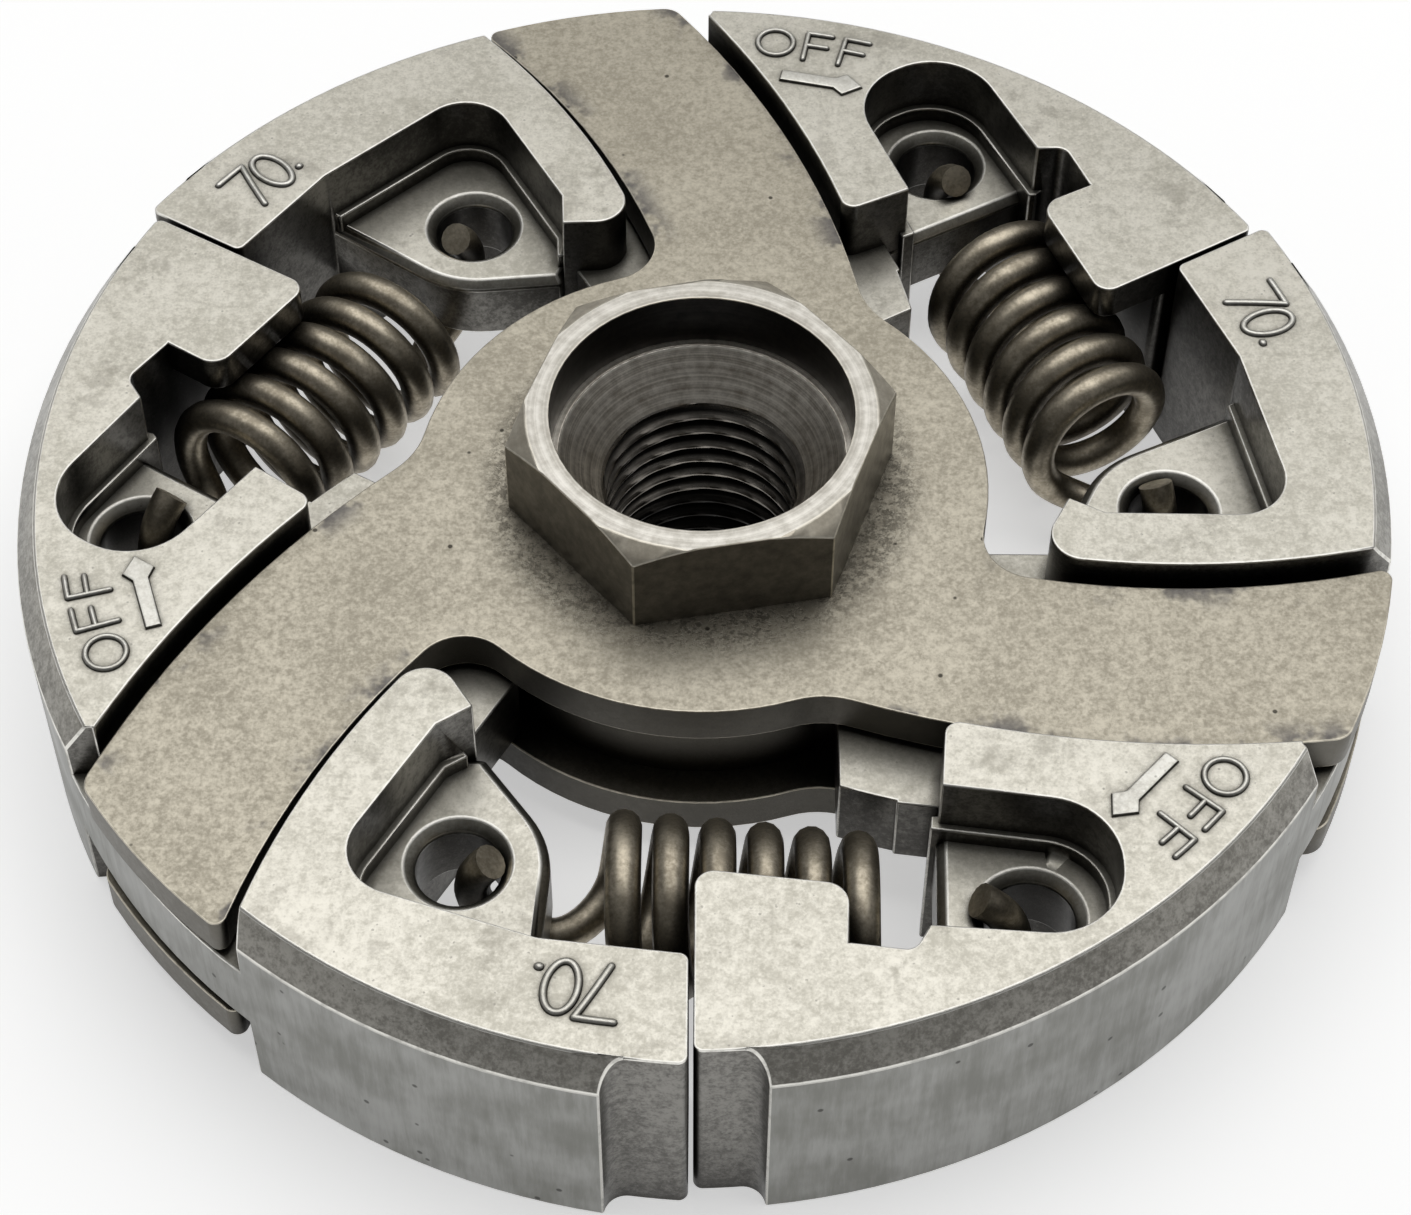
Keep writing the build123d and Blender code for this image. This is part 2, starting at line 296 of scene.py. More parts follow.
def makeSinteredSteel(name, low, high, creviceShadeShare):
    s = sintered
    material, tree, position = newMaterial(name)
    tone, _, mottle, speck = mottling(tree, s["grains"], position)
    smudge = addNode(tree, "TexNoise", {"Vector": position, **grain(*s["smudges"])})
    smudge = addNode(tree, "MapRange", (smudge, *s["smudgeBand"]), **smooth)
    # Painted shade: walls turn black and pocket floors darker where the pockets close in round them
    reach = {"Distance": s["pocketReach"] * mm}
    openness = addNode(tree, "AmbientOcclusion", reach, "AO", samples=4)
    wallShade, floorShade, outside = [
        addNode(tree, "MapRange", (openness, *s[band]), **smooth)
        for band in ("wallShadeBand", "floorShadeBand", "rubbedUnshadedBand")
    ]
    top = palette(tree, tone, s["topContrast"], low, high)
    # painted shade on the pocket floors
    top = coats(tree, top, (smudge, s["smudge"]), (floorShade, s["floorShade"]))
    wall = palette(tree, tone, s["wallContrast"], *s["walls"])
    # painted black shade on the walls down in the pockets
    wall = coats(tree, wall, (wallShade, s["deepShade"]))
    level = levelShare(tree, s["level"])
    body = addNode(tree, "Mix", {0: level, 6: wall, 7: top}, 2, data_type="RGBA")

    cells = {"Vector": position, "Scale": 1 / (s["poreSpacing"] * mm)}
    hole = addNode(tree, "TexVoronoi", cells)
    hole = addNode(tree, "MapRange", (hole, *s["poreBand"]), **smooth)
    field = addNode(tree, "MapRange", (mottle, *s["poreField"]), **smooth)
    pore = addNode(tree, "Math", (hole, field), operation="MULTIPLY")
    # Painted shade: darker close beside the raised marks and in narrow crevices
    beside = addNode(tree, "AmbientOcclusion", {"Distance": s["creviceShadeReach"] * mm}, "AO", samples=4)
    beside = addNode(tree, "MapRange", (beside, *s["creviceShadeBand"], creviceShadeShare, 0.0), **smooth)
    # Edges are rubbed bright, and that brightness is held back in the pockets as painted shade
    body = coats(
        tree, body, (pore, s["poreShare"], s["pore"]), (beside, s["creviceShade"]),
        (wornEdge(tree, position), outside, s["rubbed"]),
    )
    uneven = addNode(tree, "MapRange", (tone, *s["roughBand"]), **smooth)
    roughness = addNode(tree, "MapRange", (level, 0.0, 1.0, *s["roughness"]), **smooth)
    roughness = addNode(tree, "Math", (uneven, roughness), operation="ADD")
    height = weighted(tree, (speck, s["speckHeight"]), (mottle, 1.0), (pore, -1.0))
    finishMetal(tree, body, roughness, height, *s["relief"])
    return material


# The friction face, ground round after sintering: smooth satin grey with fine upright chatter
# lines and a few dark pores
ground = {
    "grains": ((0.5, 4.0, 0.7, 0.35), (6.0, 3.0, 0.6, 0.65)),   # lines and cloud
    "lineStretch": 0.12,
    "contrast": (0.36, 0.64),
    "poreSpacing": 2.4,
    "poreBand": (0.085, 0.05),
    "poreShare": 0.8,
    "pore": "#3A3835",
    "rubbedShare": 0.7,
    "rubbed": "#DEDCD6",
    "roughBand": (0.3, 0.7, 0.5, 0.38),
    "relief": (0.25, 0.02),
}


def makeGroundSteel(name, low, high):
    g = ground
    material, tree, position = newMaterial(name)
    stretch = {"Vector": position, "Scale": (1, 1, g["lineStretch"])}
    stretched = addNode(tree, "Mapping", stretch)
    tone, lines, _ = mottling(tree, g["grains"], position, stretched)
    cells = {"Vector": position, "Scale": 1 / (g["poreSpacing"] * mm)}
    pore = addNode(tree, "TexVoronoi", cells)
    pore = addNode(tree, "MapRange", (pore, *g["poreBand"]), **smooth)
    body = coats(
        tree, palette(tree, tone, g["contrast"], low, high), (pore, g["poreShare"], g["pore"]),
        (wornEdge(tree, position), g["rubbedShare"], g["rubbed"]),
    )
    roughness = addNode(tree, "MapRange", (tone, *g["roughBand"]), **smooth)
    height = addNode(tree, "Math", (lines, pore), operation="SUBTRACT")
    finishMetal(tree, body, roughness, height, *g["relief"])
    return material


sinteredSteel = makeSinteredSteel("sintered steel", "#C3BFB2", "#E4E0D4", 0.8)
rubbedSteel = makeSinteredSteel("sintered steel, rubbed bright", "#D4D1C7", "#EAE8E0", 0.5)
groundSteel = makeGroundSteel("ground steel", "#84847F", "#9E9E9B")

for number in (1, 2, 3):
    bm = softenedCopy(f"shoe_{number}", shoe["edge"])
    turn = Matrix.Rotation(sector * (number - 1), 3, "Z")
    centre = turn @ polar(*shoe["rimCentre"]) * mm
    for face in bm.faces:
        middle = face.calc_center_median()
        outwards = hypot(middle.x - centre.x, middle.y - centre.y) - shoe["frictionRadius"] * mm
        onRim = abs(outwards) < shoe["frictionBand"] * mm
        face.material_index = 1 if onRim and abs(face.normal.z) < shoe["upright"] else 0
    steels = [sinteredSteel, groundSteel]
    piece = newPiece(
        f"shoe_{number}_sintered", bm, steels, f"shoe_{number}",
    )
    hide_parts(f"shoe_{number}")
print("shoes made")

# Raised marks from the pressing die, on the top of every shoe. Placed for the first shoe:
# radius and angle of a mark's middle, tops outwards, read clockwise.
marks = {
    "height": 0.2,
    "sink": 0.03,
    "stroke": 0.38,
    "digitStroke": 0.44,
    "roundness": 6,
    "roundedEnd": (12, 35, 60),     # angles of the points that round a stroke's end
    "strokeSteps": 6,
    "ringSteps": 40,
    "letterO": (34.45, -37.35),
    "letterHalfSize": (1.1, 1.1),
    "stems": ((34.41, -40.5), (34.43, -44.3)),
    "stemHalf": 1.15,
    "topBar": 1.45,
    "middleBar": 1.3,
    "middleBarRise": 0.09,
    "seven": (34.51, 21.79),
    "sevenHalfWidth": 0.95,
    "sevenFoot": 0.38,              # how far left its leg ends
    "digitHalfHeight": 1.6,
    "zero": (34.5, 18.6),
    "zeroHalfSize": (0.85, 1.5),
    "dot": (33.61, 16.3),
    "dotHalf": 0.03,
    "dotStroke": 0.506,
    "arrowTail": (24.72, -19.68),
    "arrowTip": (21.29, -23.48),
    "arrowHalfWidth": 0.45,
    "arrowBarb": (1.12, 0.92),      # how far back the barbs reach, and how far out
    "arrowJunction": 1.75,
    "arrowSlope": 0.14,
}


def markPoint(place, right, outwards):
    # A point beside a mark's middle, to the reader's right and outwards
    return polar(place[0] + outwards, place[1] - degrees(right / place[0]))


def addStroke(bm, path, width, closed=False):
    # A half-round bead along a path, its free ends rounded: a wire, flattened and half sunk
    sizes = [1.0] * len(path)
    if not closed:
        first = (path[0] - path[1]).normalized() * width / 2
        last = (path[-1] - path[-2]).normalized() * width / 2
        bends = [radians(angle) for angle in marks["roundedEnd"]]
        head = [path[0] + first * cos(bend) for bend in bends]
        tail = [path[-1] + last * cos(bend) for bend in reversed(bends)]
        path = head + path + tail
        ends = [sin(bend) for bend in bends]
        sizes = ends + sizes + ends[::-1]
    bead = wire(path, width, marks["roundness"], sizes, closed)
    height = marks["height"] + marks["sink"]
    bead.transform(Matrix.Diagonal((1, 1, 2 * height / width, 1)))
    bead.transform(Matrix.Translation((0, 0, (shoe["top"] - marks["sink"]) * mm)))
    bm.from_mesh(bead)


def ringPath(place, halfWidth, halfHeight):
    angles = [2 * pi * k / marks["ringSteps"] for k in range(marks["ringSteps"])]
    return [markPoint(place, halfWidth * cos(a), halfHeight * sin(a)) for a in angles]


def straight(place, start, end):
    start, end, steps = Vector(start), Vector(end), marks["strokeSteps"]
    return [markPoint(place, *start.lerp(end, k / steps)) for k in range(steps + 1)]


def addArrow(bm):
    tail = Vector((*marks["arrowTail"], 0))
    tip = Vector((*marks["arrowTip"], 0))
    along = (tip - tail).normalized()
    side = Vector((-along.y, along.x, 0))
    half = side * marks["arrowHalfWidth"]
    back, out = marks["arrowBarb"]
    junction = tip - along * marks["arrowJunction"]
    barb = tip - along * back
    corners = [
        tail + half, tail - half, junction - half, barb - side * out, tip,
        barb + side * out, junction + half,
    ]
    low = Vector((0, 0, shoe["top"] - marks["sink"]))
    face = bm.faces.new([bm.verts.new((corner + low) * mm) for corner in corners])
    raised = bmesh.ops.extrude_face_region(bm, geom=[face])["geom"]
    top = [element for element in raised if isinstance(element, bmesh.types.BMFace)]
    lifted = [element for element in raised if isinstance(element, bmesh.types.BMVert)]
    up = (0, 0, (marks["height"] + marks["sink"]) * mm)
    bmesh.ops.translate(bm, verts=lifted, vec=up)
    bmesh.ops.bevel(
        bm, geom=top[0].edges[:], offset=marks["arrowSlope"] * mm, offset_type="OFFSET",
        segments=2, profile=0.5, affect="EDGES", material=-1,
    )


def drawMarks():
    bm = bmesh.new()
    thin, thick = marks["stroke"], marks["digitStroke"]
    up, rise = marks["stemHalf"], marks["middleBarRise"]
    addStroke(bm, ringPath(marks["letterO"], *marks["letterHalfSize"]), thin, closed=True)
    for place in marks["stems"]:
        addStroke(bm, straight(place, (0, -up), (0, up)), thin)
        addStroke(bm, straight(place, (0, up), (marks["topBar"], up)), thin)
        addStroke(bm, straight(place, (0, rise), (marks["middleBar"], rise)), thin)
    high, wide, foot = marks["digitHalfHeight"], marks["sevenHalfWidth"], marks["sevenFoot"]
    addStroke(bm, straight(marks["seven"], (-wide, high), (wide, high)), thick)
    addStroke(bm, straight(marks["seven"], (wide, high), (-foot, -high)), thick)
    addStroke(bm, ringPath(marks["zero"], *marks["zeroHalfSize"]), thick, closed=True)
    dot = straight(marks["dot"], (-marks["dotHalf"], 0), (marks["dotHalf"], 0))
    addStroke(bm, dot, marks["dotStroke"])
    addArrow(bm)
    bmesh.ops.remove_doubles(bm, verts=bm.verts, dist=touching)
    bmesh.ops.recalc_face_normals(bm, faces=bm.faces)
    return bm


for number in (1, 2, 3):
    bm = drawMarks()
    turn = Matrix.Rotation(sector * (number - 1), 3, "Z")
    bmesh.ops.rotate(bm, cent=(0, 0, 0), matrix=turn, verts=bm.verts)
    body = f"shoe_{number}"
    newPiece(f"shoe_{number}_marks", bm, [rubbedSteel], body)
print("marks made")

hub = {
    "edge": 0.08,
    "sharpAngle": 28.0,
    "weldAbove": 18.5,              # round the hexagon's top
    "weld": 0.4,
    "guideCentre": (47.6, 56.6),    # distance and angle of the first arm's arcs' centre
    "guideRadius": 52.6,
    "aboveFlange": 13.45,
    "rimAbove": 18.9,
    "faced": 0.95,                  # normals that rise more than this are faced flat
    "turned": 0.3,                  # and these are chamfers
    "coned": 0.5,                   # and these the lead-in cone
    "boreWidth": 8.5,               # everything nearer the axis than this is bore
    "boreTop": 15.6,                # where the counterbore's floor starts
    "boreMouth": 8.0,               # radius there
    "coneFoot": 12.9,
    "coreRadius": 5.35,             # thread's crests
    "rootRadius": 6.1,              # thread's roots, for M12
    "pitch": 1.25,
    "flank": (0.87, 0.12),          # from crest at 1 to root at 0, where the flank lies
    "threadAbove": 0.3,             # how far the tapped look reaches up the cone
    "backMouth": 6.35,
    "backCountersink": 1.0,
    "around": 160,
    "rows": 190,
    "cutRadius": 7.9,               # faces within these limits make room for the thread
    "cutTop": 15.55,
    "cutReach": 8.2,
    "cutLevel": 0.98,               # and steeper than this
}

# Hardened and tempered steel, blasted: tan-grey with fine grain, blue-black heat stains beside
# the shoes and dark grit round the foot of the hexagon. The flanges' edges, blanked out of
# plate, are smoother and greyer than their faces.
blasted = {
    "grains": ((7.0, 3.0, 0.6, 0.3), (0.6, 5.0, 0.75, 0.7), (0.2, 2.0, 0.6, 0.35)),
    "contrast": (0.34, 0.66),
    "pitSpacing": 2.6,
    "pitBand": (0.07, 0.035),
    "pitShare": 0.85,
    "pit": "#2E2B26",
    "sectorStart": 96.0,            # how far before +X the first arm's sector starts
    "stainSide": (3.4, 5.3),        # distance from the arm's middle line
    "stainOut": (16.0, 20.0),       # distance from the axis
    "stains": (4.2, 4.0, 0.65),
    "stainBand": (0.5, 0.6),
    "stainShare": 0.75,
    "stain": "#504F55",
    "gritRing": (13.2, 10.8),       # thickest nearer the axis than the second
    "gritGrain": (0.45, 6.0, 0.8),
    "gritBand": (0.47, 0.58),
    "gritShare": 0.5,
    "grit": "#3F3A31",
    "level": (0.8, 0.95, 1.0, 0.0),
    "plateEdge": "#6E6B64",
    "creviceShadeReach": 1.5,
    "creviceShadeBand": (0.3, 0.9, 0.6, 0.0),
    "creviceShade": "#2B2823",
    "deepShadeReach": 8.0,
    "deepShadeBand": (0.3, 0.72, 0.85, 0.0),
    "deepShade": "#211F1C",
    "rubbedShare": 0.7,
    "rubbed": "#E6DFCE",
    "roughBand": (0.3, 0.7, 0.52, 0.4),
    "speckHeight": 0.5,
    "relief": (0.35, 0.03),
}


def armSide(tree, x, y, radius):
    # Distance from the arms' curved middle lines. Every point is turned into the first arm's
    # sector, where the line is an arc about one centre.
    start = radians(blasted["sectorStart"])
    angle = addNode(tree, "Math", (y, x), operation="ARCTAN2")
    for operation, value in (("ADD", start), ("FLOORED_MODULO", sector), ("SUBTRACT", start)):
        angle = addNode(tree, "Math", (angle, value), operation=operation)
    centre = polar(*hub["guideCentre"]) * mm
    offsets = []
    for operation, middle in (("COSINE", centre.x), ("SINE", centre.y)):
        part = addNode(tree, "Math", [angle], operation=operation)
        along = (radius, part, -middle)
        offsets.append(addNode(tree, "Math", along, operation="MULTIPLY_ADD"))
    reach = axisDistance(tree, *offsets)
    side = addNode(tree, "Math", (reach, hub["guideRadius"] * mm), operation="SUBTRACT")
    return addNode(tree, "Math", [side], operation="ABSOLUTE")


def makeSpiderSteel(name, low, high):
    b = blasted
    material, tree, position = newMaterial(name)
    tone, _, mottle, speck = mottling(tree, b["grains"], position)
    cells = {"Vector": position, "Scale": 1 / (b["pitSpacing"] * mm)}
    pit = addNode(tree, "TexVoronoi", cells)
    pit = addNode(tree, "MapRange", (pit, *b["pitBand"]), **smooth)
    x, y = (addNode(tree, "SeparateXYZ", [position], axis) for axis in "XY")
    radius = axisDistance(tree, x, y)
    side = armSide(tree, x, y, radius)
    nearSide, outer, ring = [
        addNode(tree, "MapRange", (distance, b[band][0] * mm, b[band][1] * mm), **smooth)
        for distance, band in ((side, "stainSide"), (radius, "stainOut"), (radius, "gritRing"))
    ]
    stain, grit = [
        addNode(tree, "TexNoise", {"Vector": position, **grain(*b[look])})
        for look in ("stains", "gritGrain")
    ]
    stain = addNode(tree, "MapRange", (stain, *b["stainBand"]), **smooth)
    grit = addNode(tree, "MapRange", (grit, *b["gritBand"]), **smooth)
    grit = addNode(tree, "Math", (ring, grit), operation="MULTIPLY")
    creviceShade, deepShade = [
        addNode(tree, "AmbientOcclusion", {"Distance": b[reach] * mm}, "AO", samples=4)
        for reach in ("creviceShadeReach", "deepShadeReach")
    ]
    # painted shade in narrow crevices
    creviceShade = addNode(tree, "MapRange", (creviceShade, *b["creviceShadeBand"]), **smooth)
    # painted deep shade under the hub, on the lower flange and beside the hexagon's foot
    deepShade = addNode(tree, "MapRange", (deepShade, *b["deepShadeBand"]), **smooth)
    body = coats(
        tree, palette(tree, tone, b["contrast"], low, high),
        (pit, b["pitShare"], b["pit"]),
        (nearSide, outer, stain, b["stainShare"], b["stain"]),
        (grit, b["gritShare"], b["grit"]),
        (levelShare(tree, b["level"]), b["plateEdge"]),
        (creviceShade, b["creviceShade"]),
        (deepShade, b["deepShade"]),
        (wornEdge(tree, position), b["rubbedShare"], b["rubbed"]),
    )
    roughness = addNode(tree, "MapRange", (tone, *b["roughBand"]), **smooth)
    height = weighted(tree, (speck, b["speckHeight"]), (mottle, 1.0), (grit, -1.0))
    finishMetal(tree, body, roughness, height, *b["relief"])
    return material


# Turned steel: fine rings from the tool, worn bright on its edges. The tool's feed of 0.1 mm
# is drawn at 0.2 mm or more, so that the rings show. In the thread the crests are rubbed, and
# the roots and the deep end are painted black as shade.
turned = {
    "ringGrain": (3.0, 0.7, 0.6),       # detail, roughness and weight
    "mottle": (0.8, 5.0, 0.7, 0.4),
    "contrast": (0.36, 0.64),
    "root": (0.05, 0.4),                # how far outside the crests the painted shade starts and is full
    "threadFade": 0.4,
    "deepEnd": (6.6, 4.6),              # heights where the bore turns black
    "backLight": (0.6, 1.4),            # and where light comes in from the back
    "deepShade": "#121110",
    "rubbedShare": 0.8,
    "rubbed": "#E2DCCD",
    "roughBand": (0.3, 0.7),
    "roughSpread": 0.06,
    "mottleHeight": 0.3,
    "relief": (0.4, 0.04),
}


def makeTurnedSteel(name, low, high, rough, ringSize, deepShadeShare=0.0):
    t = turned
    material, tree, position = newMaterial(name)
    # The rings' noise is drawn only from the distance to the axis and the height
    x, y, z = (addNode(tree, "SeparateXYZ", [position], axis) for axis in "XYZ")
    radius = axisDistance(tree, x, y)
    aroundAxis = addNode(tree, "CombineXYZ", {"X": radius, "Z": z})
    grains = ((ringSize, *t["ringGrain"]), t["mottle"])
    tone, rings, mottle = mottling(tree, grains, position, aroundAxis)
    crest, foot = hub["coreRadius"], hub["coneFoot"]
    root, inThread, deep, inside = [
        addNode(tree, "MapRange", (value, start * mm, end * mm), **smooth)
        for value, start, end in (
            (radius, crest + t["root"][0], crest + t["root"][1]),
            (z, foot, foot - t["threadFade"]), (z, *t["deepEnd"]), (z, *t["backLight"]),
        )
    ]
    # Painted shade: black in the thread's roots and deep in the bore, less near the back where light comes
    # in
    root = addNode(tree, "Math", (root, inThread), operation="MULTIPLY")
    deep = addNode(tree, "Math", (deep, inside), operation="MULTIPLY")
    black = addNode(tree, "Math", (root, deep), operation="MAXIMUM")
    body = coats(
        tree, palette(tree, tone, t["contrast"], low, high), (black, deepShadeShare, t["deepShade"]),
        (wornEdge(tree, position), t["rubbedShare"], t["rubbed"]),
    )
    spread = (rough + t["roughSpread"], rough - t["roughSpread"])
    roughness = addNode(tree, "MapRange", (tone, *t["roughBand"], *spread), **smooth)
    height = weighted(tree, (rings, 1.0), (mottle, t["mottleHeight"]))
    finishMetal(tree, body, roughness, height, *t["relief"])
    return material


spiderSteel = makeSpiderSteel("blasted tool steel", "#ABA494", "#CBC4B3")
facedSteel = makeTurnedSteel("faced steel", "#BEB9AE", "#EFEBE2", 0.42, 0.6)
turnedSteel = makeTurnedSteel("turned steel", "#B4AC9C", "#E2DBCB", 0.42, 2.0)
coneSteel = makeTurnedSteel("turned steel, tool rings", "#9C9386", "#F6F0E4", 0.4, 0.2)
# the tapped steel takes nearly all of the painted shade
threadSteel = makeTurnedSteel("tapped steel", "#716C65", "#A8A299", 0.3, 0.3, 0.96)
hexagonSteel = makeTurnedSteel("blackened steel", "#625F59", "#8F8A81", 0.32, 40.0)
# A dark copy of the turned steel: painted shade for the walls inside the bore
boreShadeSteel = makeTurnedSteel("turned steel, painted bore shade", "#2B2A2A", "#403E3C", 0.36, 1.2)

bm = softenedCopy("spider_hub", hub["edge"], hub["sharpAngle"], hub["weldAbove"], hub["weld"])
inBore = []
for face in bm.faces:
    middle = face.calc_center_median()
    near = hypot(*middle.xy) < hub["cutRadius"] * mm and middle.z < hub["cutTop"] * mm
    reach = max(hypot(*vert.co.xy) for vert in face.verts)
    if near and reach < hub["cutReach"] * mm and abs(face.normal.z) < hub["cutLevel"]:
        inBore.append(face)
bmesh.ops.delete(bm, geom=inBore, context="FACES")

steels = [spiderSteel, facedSteel, turnedSteel, hexagonSteel, boreShadeSteel, coneSteel]
worn = bm.faces.layers.float[wear["attribute"]]
for face in bm.faces:
    middle = face.calc_center_median()
    rise = face.normal.z
    steel = spiderSteel
    if hypot(*middle.xy) < hub["boreWidth"] * mm:
        if middle.z > hub["rimAbove"] * mm:
            steel = facedSteel
        else:
            # the bore's walls take the dark copy, painted shade
            steel = coneSteel if rise > hub["coned"] else boreShadeSteel
            face[worn] = 0.0
    elif middle.z > hub["aboveFlange"] * mm:
        steel = turnedSteel if rise > hub["turned"] else hexagonSteel
        if rise > hub["faced"]:
            steel = facedSteel
    face.material_index = steels.index(steel)
spider = newPiece("spider_hub_steel", bm, steels, "hub", hub["sharpAngle"])
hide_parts("spider_hub")


def boreRadius(angle, height):
    # The widest of the lead-in cone, the countersink at the back and the left-hand thread
    core, root = hub["coreRadius"], hub["rootRadius"]
    slope = (hub["boreMouth"] - core) / (hub["boreTop"] - hub["coneFoot"])
    cone = core + max(0, height - hub["coneFoot"]) * slope
    back = hub["backMouth"] - height * (hub["backMouth"] - core) / hub["backCountersink"]
    phase = (height / hub["pitch"] + angle / (2 * pi)) % 1
    flank = abs(2 * phase - 1)      # 1 on the crest, 0 in the root
    start, end = hub["flank"]
    depth = min(1, max(0, (start - flank) / (start - end)))
    return max(cone, back, core + (root - core) * depth)


# The bore is a grid rolled up: its width goes round, and its height up
bm = bmesh.new()
bmesh.ops.create_grid(bm, x_segments=hub["around"], y_segments=hub["rows"], size=0.5)
for vert in bm.verts:
    angle = 2 * pi * (vert.co.x + 0.5)
    height = (vert.co.y + 0.5) * hub["boreTop"]
    radius = boreRadius(angle, height)
    vert.co = Vector((radius * cos(angle), radius * sin(angle), height)) * mm
bmesh.ops.remove_doubles(bm, verts=bm.verts, dist=touching)
tappedTop = (hub["coneFoot"] + hub["threadAbove"]) * mm
for face in bm.faces:
    middle = face.calc_center_median()
    face.material_index = 1 if middle.z < tappedTop else 0
    if face.normal.dot(Vector((middle.x, middle.y, 0))) > 0:
        face.normal_flip()
newPiece("spider_hub_thread", bm, [coneSteel, threadSteel], "hub")
print("hub made")

spring = {
    "wire": 1.95,
    "roundness": 5,
    "meanRadius": 4.0,
    "pitch": 2.5,
    "turns": 6,
    "deepHookWrap": 134.0,
    "wideHookWrap": 150.0,
    "hookBend": 55.0,
    "height": 7.4,
    "deepHole": (-12.7, -23.5),
    "wideHole": (17.3, -26.6),
    "deepHoleRadius": 2.3,
    "wideHoleRadius": 2.4,
    "hookPlay": 0.7,
    "coilStep": 7.5,        # angle between the wire's points
    "hookSteps": 18,
    "bendSteps": 10,
}

# Oil-tempered spring wire: brown-black oxide with a dull sheen, rubbed to tan in places
oiled = {
    "grains": ((1.2, 5.0, 0.7, 0.7), (0.2, 2.0, 0.6, 0.3)),
    "contrast": (0.38, 0.66),
    "creviceShadeReach": 3.2,
    "creviceShadeBand": (0.3, 0.9, 0.9, 0.0),
    "creviceShade": "#1F1C19",
    "roughBand": (0.3, 0.7, 0.48, 0.38),
    "relief": (0.25, 0.02),
}


def makeSpringWire(name, low, high):
    material, tree, position = newMaterial(name)
    tone = mottling(tree, oiled["grains"], position)[0]
    # Painted shade: the wire goes dark where coils and nearby parts close round it
    reach = {"Distance": oiled["creviceShadeReach"] * mm}
    creviceShade = addNode(tree, "AmbientOcclusion", reach, "AO", samples=4)
    creviceShade = addNode(tree, "MapRange", (creviceShade, *oiled["creviceShadeBand"]), **smooth)
    body = coats(tree, palette(tree, tone, oiled["contrast"], low, high), (creviceShade, oiled["creviceShade"]))
    roughness = addNode(tree, "MapRange", (tone, *oiled["roughBand"]), **smooth)
    finishMetal(tree, body, roughness, tone, *oiled["relief"])
    return material


springWire = makeSpringWire("oil-tempered wire", "#9A9180", "#CCC2AE")
cutWire = makeSpringWire("cut wire end", "#8C8A84", "#C2C0B9")


def springLine():
    # Points along the middle of the first spring's wire, from its deep hook to its wide one.
    # They are worked out with Z along the coil and X down.
    coilRadius = spring["meanRadius"]
    start, end = (Vector((*spring[hole], 0)) for hole in ("deepHole", "wideHole"))
    direction = (end - start).normalized()
    reach = coilRadius - spring["wire"] / 2 - spring["hookPlay"]
    firstLoop = spring["deepHoleRadius"] + reach
    lastLoop = (end - start).length - spring["wideHoleRadius"] - reach
    loopDistance = (lastLoop - firstLoop) / 2
    turning = 360 * spring["turns"] - 2 * spring["hookBend"]
    coilLength = spring["pitch"] * turning / 360
    coilSteps, hookSteps = round(turning / spring["coilStep"]), spring["hookSteps"]

    def coilPoint(onwards):
        height = spring["pitch"] * onwards / 360 - coilLength / 2
        return polar(coilRadius, spring["hookBend"] + onwards) + Vector((0, 0, height))

    def hookPoints(wrap):
        angles = [radians(wrap * (1 - k / hookSteps)) for k in range(hookSteps + 1)]
        loop = [(coilRadius * cos(a), 0, -loopDistance - coilRadius * sin(a)) for a in angles]
        return [Vector(point) for point in loop]

    coil = [coilPoint(turning * k / coilSteps) for k in range(coilSteps + 1)]
    hook = hookPoints(spring["deepHookWrap"])
    # The bend leaves the hook along Z and meets the coil along the coil's own direction
    span = (coil[0] - hook[-1]).length / 3
    leave = hook[-1] + Vector((0, 0, span))
    meet = coil[0] - (coilPoint(1) - coil[0]).normalized() * span
    bend = interpolate_bezier(hook[-1], leave, meet, coil[0], spring["bendSteps"] + 1)[1:-1]
    farHook = reversed(hookPoints(spring["wideHookWrap"]) + bend)
    farHook = [Vector((point.x, -point.y, -point.z)) for point in farHook]

    down = Vector((0, 0, -1))
    place = Matrix((down, direction.cross(down), direction)).transposed().to_4x4()
    place.translation = start + direction * (firstLoop + lastLoop) / 2
    place.translation.z = spring["height"]
    return [place @ point for point in hook + bend + coil + farHook]


# Each spring is two pieces that meet mid-coil. The middle stays with the hub, and each
# hook follows its own shoe: the near hook the shoe before, the far hook the next one.
line = springLine()
half, hooked = len(line) // 2, spring["hookSteps"]
for number in (1, 2, 3):
    turn = Matrix.Rotation(sector * (number - 1), 4, "Z")
    points = [turn @ point for point in line]
    middle = (points[0] + points[-1]) / 2
    ends = (
        ("near", points[:half + 1], points[hooked], f"shoe_{(number + 1) % 3 + 1}"),
        ("far", points[half:], points[-1 - hooked], f"shoe_{number}"),
    )
    for word, part, held, body in ends:
        bm = bmesh.new()
        bm.from_mesh(wire(part, spring["wire"], spring["roundness"]))
        bmesh.ops.remove_doubles(bm, verts=bm.verts, dist=touching)
        bmesh.ops.recalc_face_normals(bm, faces=bm.faces)
        for face in bm.faces:
            # Only the wire's cut ends have more than four sides
            face.material_index = 1 if len(face.verts) > 4 else 0
        wires = [springWire, cutWire]
        piece = newPiece(f"spring_{number}_{word}_half", bm, wires, None)
        held.z = middle.z
        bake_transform(piece, "hub", body, start=tuple(middle * mm), end=tuple(held * mm))
        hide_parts(f"spring_{number}")
print("springs made")

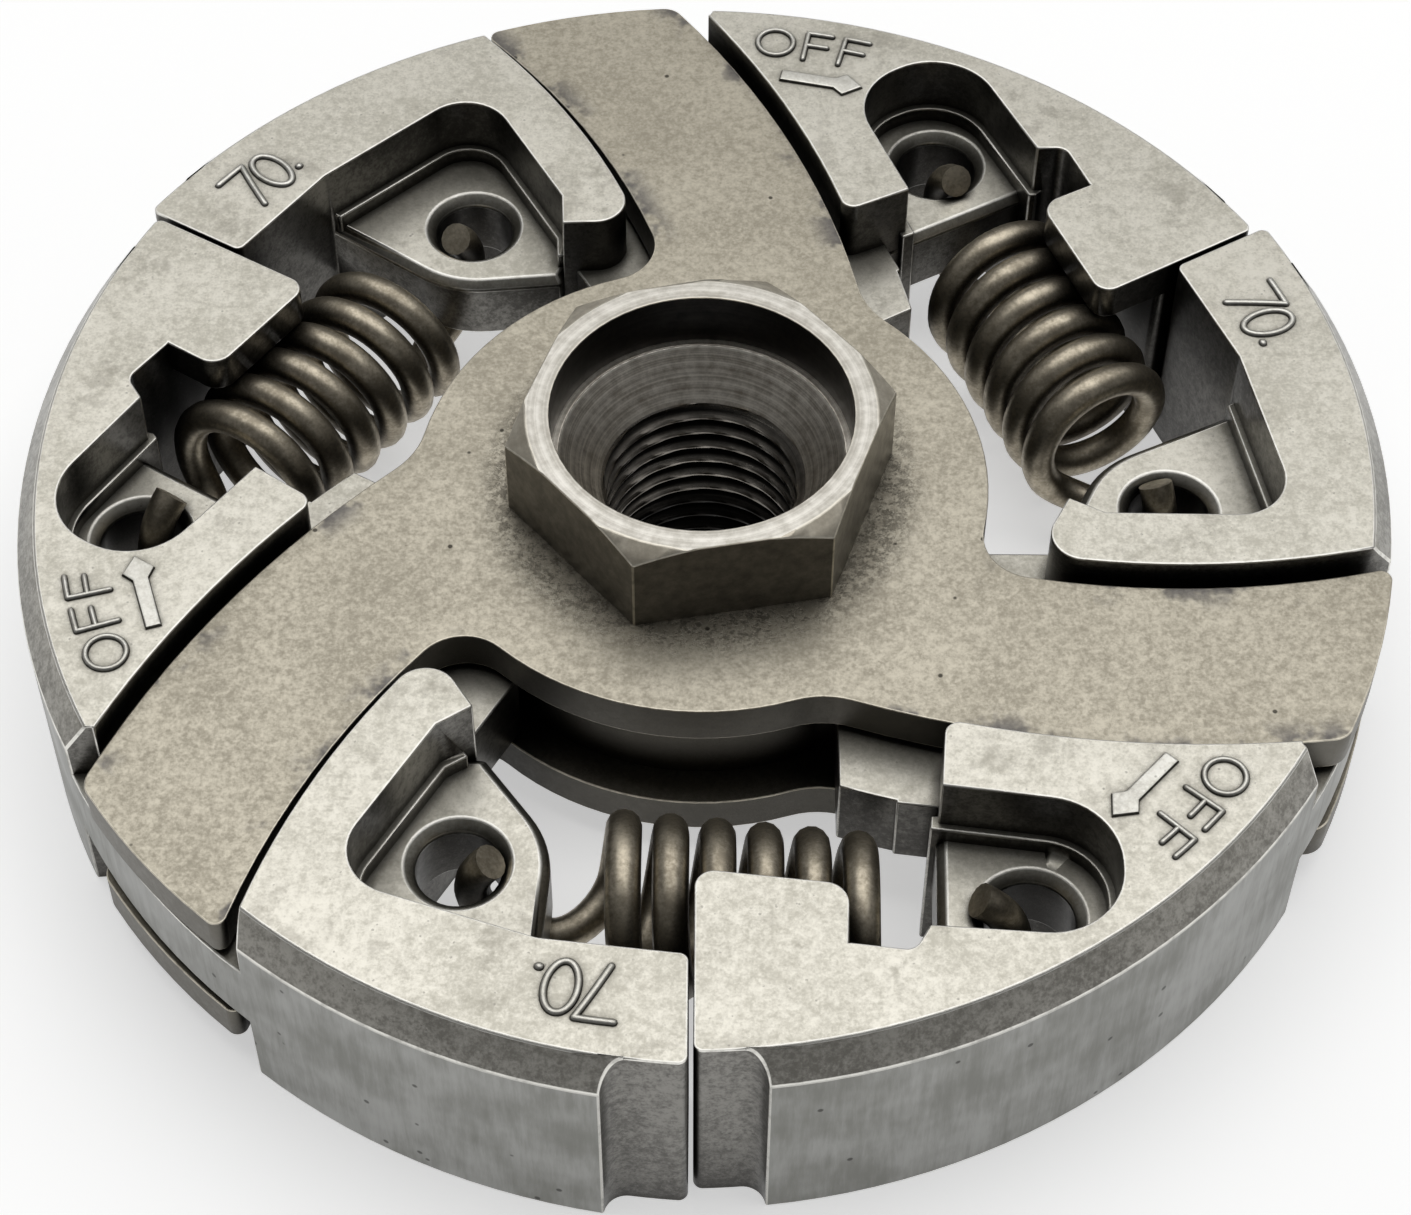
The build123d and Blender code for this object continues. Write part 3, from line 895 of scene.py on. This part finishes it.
studio = {
    "floorSize": 1.2,                   # metres, like the soft box
    "floorColour": "#F4F4F3",
    "floorLift": 0.5,
    "roomColour": "#E6E7E8",
    "roomHeights": (0.1, 0.7),
    "roomStrength": (0.42, 0.12),
    "boxPlace": (0.08, 0.44, 1.42),
    "boxAim": (0, 0, 0.01),
    "boxSize": (2.0, 1.5),
    "boxPower": 13.6,                   # watts
    "cameraTarget": (0.26, -9.98, 14.4),
    "cameraDistance": 182.2,
    "cameraElevation": 52.53,
    "cameraRoll": 0.33,
    "lens": 85.98,
    "clipStart": 0.01,
}

bm = bmesh.new()
bmesh.ops.create_grid(bm, x_segments=1, y_segments=1, size=studio["floorSize"])
floorMesh = bpy.data.meshes.new("floor")
bm.to_mesh(floorMesh)
bm.free()
floor = bpy.data.objects.new("floor", floorMesh)
scene.collection.objects.link(floor)
# White paper. Seen by the camera or in the metal it is lifted to white, under its shadows.
floorPaper, tree, _ = newMaterial("white paper")
paper = addNode(tree, "BsdfDiffuse", [colour(studio["floorColour"])])
seen = 0.0
for ray in ("Is Camera Ray", "Is Glossy Ray", "Is Transmission Ray"):
    seen = addNode(tree, "Math", (seen, addNode(tree, "LightPath", out=ray)), operation="MAXIMUM")
seen = addNode(tree, "Math", (seen, studio["floorLift"]), operation="MULTIPLY")
lift = addNode(tree, "Emission", (colour("#FFFFFF"), seen))
addNode(tree, "OutputMaterial", [addNode(tree, "AddShader", (paper, lift))])
floorMesh.materials.append(floorPaper)

# The room is lighter low down, where white paper stands round the clutch, than overhead
world = bpy.data.worlds.new("studio")
world.use_nodes = True
tree = world.node_tree
tree.nodes.clear()
upwards = addNode(tree, "SeparateXYZ", [addNode(tree, "TexCoord", out="Generated")], "Z")
room = (upwards, *studio["roomHeights"], *studio["roomStrength"])
strength = addNode(tree, "MapRange", room, **smooth)
background = addNode(tree, "Background", (colour(studio["roomColour"]), strength))
addNode(tree, "OutputWorld", [background])
scene.world = world

# One big soft box overhead and a little behind the clutch, its far edge low
light = bpy.data.lights.new("overhead", "AREA")
light.shape = "RECTANGLE"
light.size, light.size_y = studio["boxSize"]
light.energy = studio["boxPower"]
softBox = bpy.data.objects.new("overhead", light)
softBox.location = studio["boxPlace"]
aim = Vector(studio["boxAim"]) - Vector(studio["boxPlace"])
softBox.rotation_euler = aim.to_track_quat("-Z", "Y").to_euler()
scene.collection.objects.link(softBox)

target = Vector(studio["cameraTarget"]) * mm
tilt = radians(studio["cameraElevation"])
camera = bpy.data.objects.new("camera", bpy.data.cameras.new("camera"))
camera.data.lens = studio["lens"]
camera.data.clip_start = studio["clipStart"]
away = Vector((0, -cos(tilt), sin(tilt)))
camera.location = target + away * studio["cameraDistance"] * mm
aim = (-away).to_track_quat("-Z", "Y").to_matrix()
roll = Matrix.Rotation(radians(studio["cameraRoll"]), 3, "Z")
camera.rotation_euler = (aim @ roll).to_euler()
scene.collection.objects.link(camera)
scene.camera = camera
scene.view_settings.view_transform = "Standard"
print("studio made")
